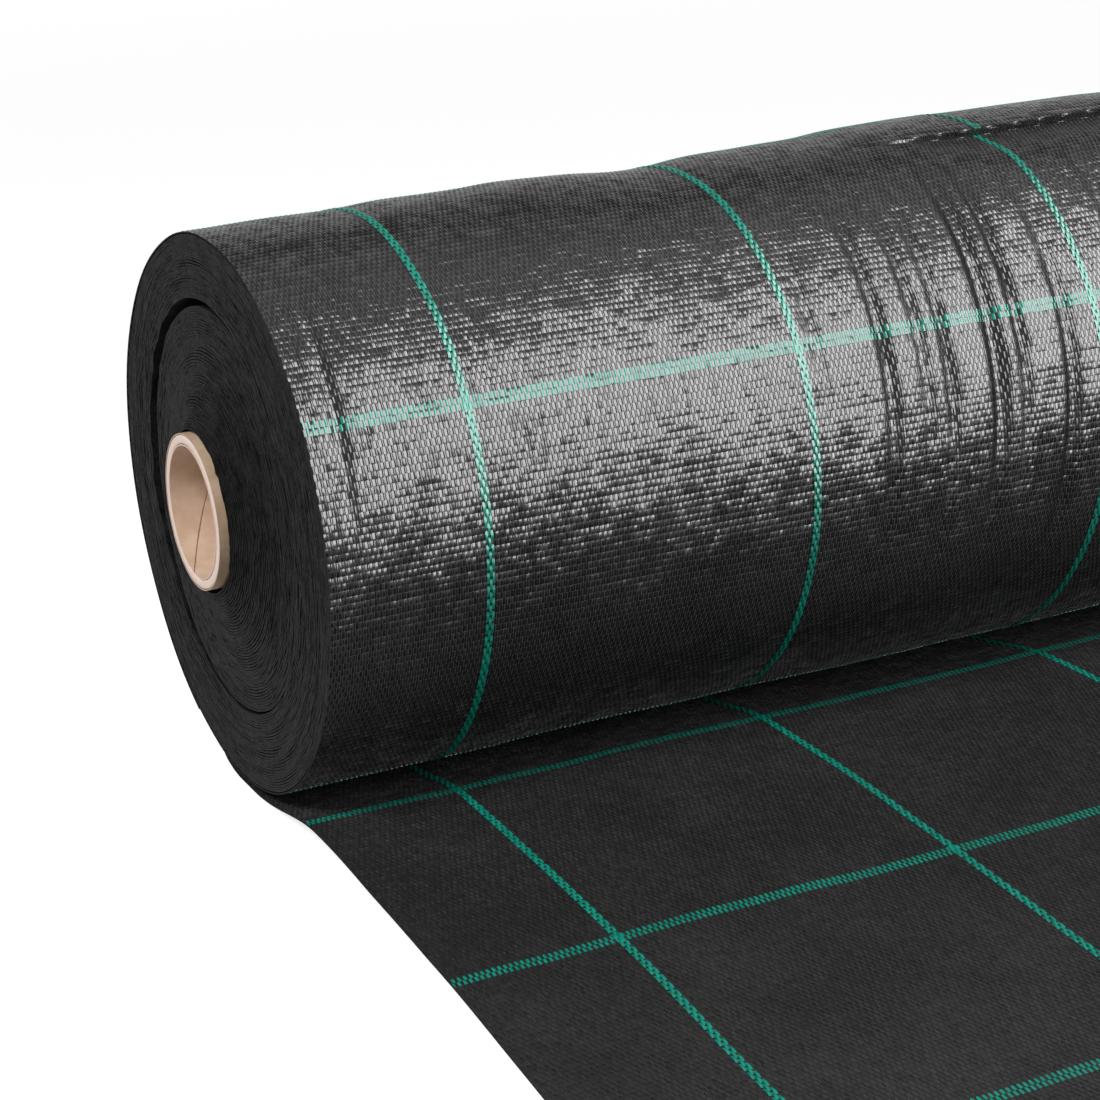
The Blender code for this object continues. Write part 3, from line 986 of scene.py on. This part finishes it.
def lip_curve():
    """The lip from the side: a cubic curve that leaves the ground level and ends along the roll, as far
    from its axis as the ground is. It is given as many points and each one's distance along it."""
    turn = math.radians(lip_end_angle)
    end = axis_height * np.array([math.cos(turn), 1 + math.sin(turn)])
    start = np.array([lift_off, 0.0])
    handle = np.linalg.norm(end - start) * lip_handle_share
    start_handle = start + np.array([handle, 0])
    end_handle = end - handle * np.array([-math.sin(turn), math.cos(turn)])
    share = np.linspace(0, 1, lip_stations)[:, None]
    points = (
        start * (1 - share) ** 3
        + 3 * start_handle * share * (1 - share) ** 2
        + 3 * end_handle * share**2 * (1 - share)
        + end * share**3
    )
    steps = np.linalg.norm(np.diff(points, axis=0), axis=1)
    return points, np.concatenate([[0], np.cumsum(steps)])


lip_points, lip_distances = lip_curve()
sheet_length = free_length + lift_off + lip_distances[-1]


def sheet_profile(distance):
    """The sheet's underside from the side, at a distance from its cut end: its place and its height."""
    behind = distance - free_length
    beyond = behind - lift_off
    lip_place, lip_height = (np.interp(beyond, lip_distances, lip_points[:, part]) for part in (0, 1))
    on_ground = beyond < 0
    return np.where(on_ground, behind, lip_place), np.where(on_ground, wave_at(behind), lip_height)


def sheet_point(across, distance, height):
    """A point at a height over the sheet's upper side, square to it, with the sheet's gentle unevenness,
    which dies out at its edges and under the roll, and its sideways drift."""
    across, distance, height = np.broadcast_arrays(across, distance, height)
    behind, lift = sheet_profile(distance)
    ahead, rise = sheet_profile(distance + half_step)
    before, fall = sheet_profile(distance - half_step)
    slope_along, slope_up = ahead - before, rise - fall
    length = np.hypot(slope_along, slope_up)
    place = cloth_near_edge + across
    clear = eased((-behind - calm_start) / calm_ease) * eased(distance / cut_end_ease)
    waves = rippled(across, distance, 9, sheet_wave_lengths, sheet_wave_heights)
    uneven = clear * (sheet_lift + waves)
    thick = cloth_thickness + height
    sideways = lip_drift * eased(behind / lip_drift_reach)
    x = place - drift * np.maximum(0, -behind - wave_start) ** 2 + sideways
    y = behind - slope_up / length * thick
    z = lift + slope_along / length * thick + np.maximum(uneven, 0)
    return np.stack([x, y, z], axis=-1)


def sheet_skin():
    """The sheet as a band from its cut end to its lip."""
    distance = np.linspace(0, sheet_length, sheet_stations)[:, None]
    across = np.linspace(0, cloth_width, sheet_places)[None, :]
    flat = np.stack(np.broadcast_arrays(across, distance), axis=-1)
    upper, lower = (sheet_point(across, distance, height) for height in (0, -cloth_thickness))
    return band(upper, lower, flat)


# The same cloth as on the roll, painted lighter: painted light that stands in for the light on the sheet.
laid_material = woven_material(
    "woven_cloth_on_the_ground_painted_lighter", (0.007, 0.007, 0.0073), (0.028, 0.0275, 0.0272), 0.2, 0.32, 0.06
)
free_sheet = add_piece(
    "free_sheet", *sheet_skin(), laid_material, "laid_cloth", ["laid_sheet"], "weed_cloth"
)

# Green marker tapes on the sheet
# The same green tapes, woven in with the cloth. The lengthwise lines run on over the free sheet from its
# cut end to its lip, and the crosswise ones go on at the same spacing.
for line in range(1, warp_line_count + 1):
    end = sheet_length - marker_end_margin
    add_lengthwise_line(line, "sheet", marker_end_margin, end, sheet_point, "laid_cloth")
for line in range(1, sheet_weft_count + 1):
    steps_back = line - 1 + grid_lines_on_roll
    distance = cloth_distance(front_marker_angle) - steps_back * marker_spacing
    add_crosswise_line(line, "sheet", distance, sheet_point, "laid_cloth")

# Floor
# A wide pale floor, which belongs to the picture and not to the object. The camera and reflections see it
# nearly white, with the roll's soft shadow on it, and all other rays see it grey.
floor_half = 30.0
floor_drop = 0.0002
glow_start, glow_end = 1.0, 5.0
glow_near, glow_far = 0.8, 0.93


def seen_directly(owner):
    """1 for rays of the camera, of reflections and of see-through surfaces, and 0 for all others."""
    rays = add_node(owner, "ShaderNodeLightPath").outputs
    indirect = computed(owner, "MAXIMUM", rays["Is Glossy Ray"], rays["Is Transmission Ray"])
    return computed(owner, "MAXIMUM", rays["Is Camera Ray"], indirect)


def matt(grey):
    """A diffuse surface of the floor in this grey."""
    sockets = {"Color": (grey, grey, grey, 1)}
    return add_node(floor_material, "ShaderNodeBsdfDiffuse", sockets).outputs[0]


signs = ((-1, -1), (1, -1), (1, 1), (-1, 1))
floor_mesh = bpy.data.meshes.new("floor")
floor_mesh.from_pydata(
    [(x * floor_half, y * floor_half, -floor_drop) for x, y in signs], [], [(0, 1, 2, 3)]
)
floor = bpy.data.objects.new("floor", floor_mesh)
bpy.context.scene.collection.objects.link(floor)
floor_material, floor_shader = new_material("pale_floor")
floor_nodes = floor_material.node_tree.nodes
floor_nodes.remove(floor_shader)
floor_place = {0: own_place(floor_material)}
away = add_node(floor_material, "ShaderNodeVectorMath", floor_place, operation="LENGTH").outputs["Value"]
glow_strength = graded(floor_material, away, glow_start, glow_end, glow_near, glow_far)
glowing = {"Color": (1, 1, 1, 1), "Strength": glow_strength}
glow = add_node(floor_material, "ShaderNodeEmission", glowing).outputs[0]
white_floor = add_node(floor_material, "ShaderNodeAddShader", {0: matt(0.4), 1: glow}).outputs[0]
floor_choice = {0: seen_directly(floor_material), 1: matt(0.5), 2: white_floor}
shown_floor = add_node(floor_material, "ShaderNodeMixShader", floor_choice).outputs[0]
link_input(floor_material, shown_floor, floor_nodes["Material Output"], "Surface")
floor_mesh.materials.append(floor_material)

# Light
# A white room and three soft lamps. One stands in front at the right, and one at the left isn't seen in
# gloss. The third stands nearly where the first does. It is seen in gloss only and lights the roll's pieces
# only, where it draws the bright band along the front.
room_light = 0.15
world = bpy.data.worlds.new("white_room")
bpy.context.scene.world = world
world.use_nodes = True
background = world.node_tree.nodes["Background"]
background.inputs["Color"].default_value = (1, 1, 1, 1)
room_strength = graded(world, seen_directly(world), 0.0, 1.0, room_light, 1.0)
link_input(world, room_strength, background, "Strength")


def add_lamp(name, place, target, width, height, power):
    """A rectangular soft lamp at a place, facing its target."""
    lamp = bpy.data.lights.new(name, "AREA")
    lamp.shape = "RECTANGLE"
    lamp.size = width
    lamp.size_y = height
    lamp.energy = power
    holder = bpy.data.objects.new(name, lamp)
    bpy.context.scene.collection.objects.link(holder)
    place, target = np.array(place, float), np.array(target, float)
    forward = (target - place) / np.linalg.norm(target - place)
    right = np.cross(forward, (0, 0, 1))
    right = right / np.linalg.norm(right)
    up = np.cross(right, forward)
    turn = np.eye(4)
    turn[:3, 0], turn[:3, 1], turn[:3, 2], turn[:3, 3] = right, up, -forward, place
    holder.matrix_world = Matrix(turn.tolist())
    return holder


add_lamp("front_soft_box", (1.05, -1.65, 1.4), (0.0, -0.1, 0.2), 2.4, 2.4, 46.0)
left_box = add_lamp("left_soft_box", (-2.0, -1.0, 2.2), (-0.5, 0.0, 0.17), 0.8, 0.8, 66.0)
left_box.visible_glossy = False
sheen_box = add_lamp("sheen_soft_box", (0.88, -1.55, 1.24), (0.0, -0.1, 0.2), 2.1, 2.4, 335.0)
sheen_box.visible_diffuse = False
sheen_receivers = bpy.data.collections.new("lit_by_sheen_box")
for piece in bpy.context.scene.objects:
    if piece.type == "MESH" and not piece.name.startswith(("sheet", "free_sheet", "floor")):
        sheen_receivers.objects.link(piece)
sheen_box.light_linking.receiver_collection = sheen_receivers

# Camera
# It stands to the left of the roll and looks along it from a little above, rolled slightly, as in the
# photograph.
camera_data = bpy.data.cameras.new("camera")
camera_data.sensor_width = 36.0
camera_data.lens = 80.384
camera_data.shift_x = 0.1
camera_data.shift_y = 0.04545
camera = bpy.data.objects.new("camera", camera_data)
bpy.context.scene.collection.objects.link(camera)
camera.location = (-0.91205, -1.26733, 0.57542)
camera.rotation_euler = [math.radians(angle) for angle in (70.4762, 3.0643, -24.5853)]
bpy.context.scene.camera = camera
bpy.context.scene.view_settings.view_transform = "Standard"
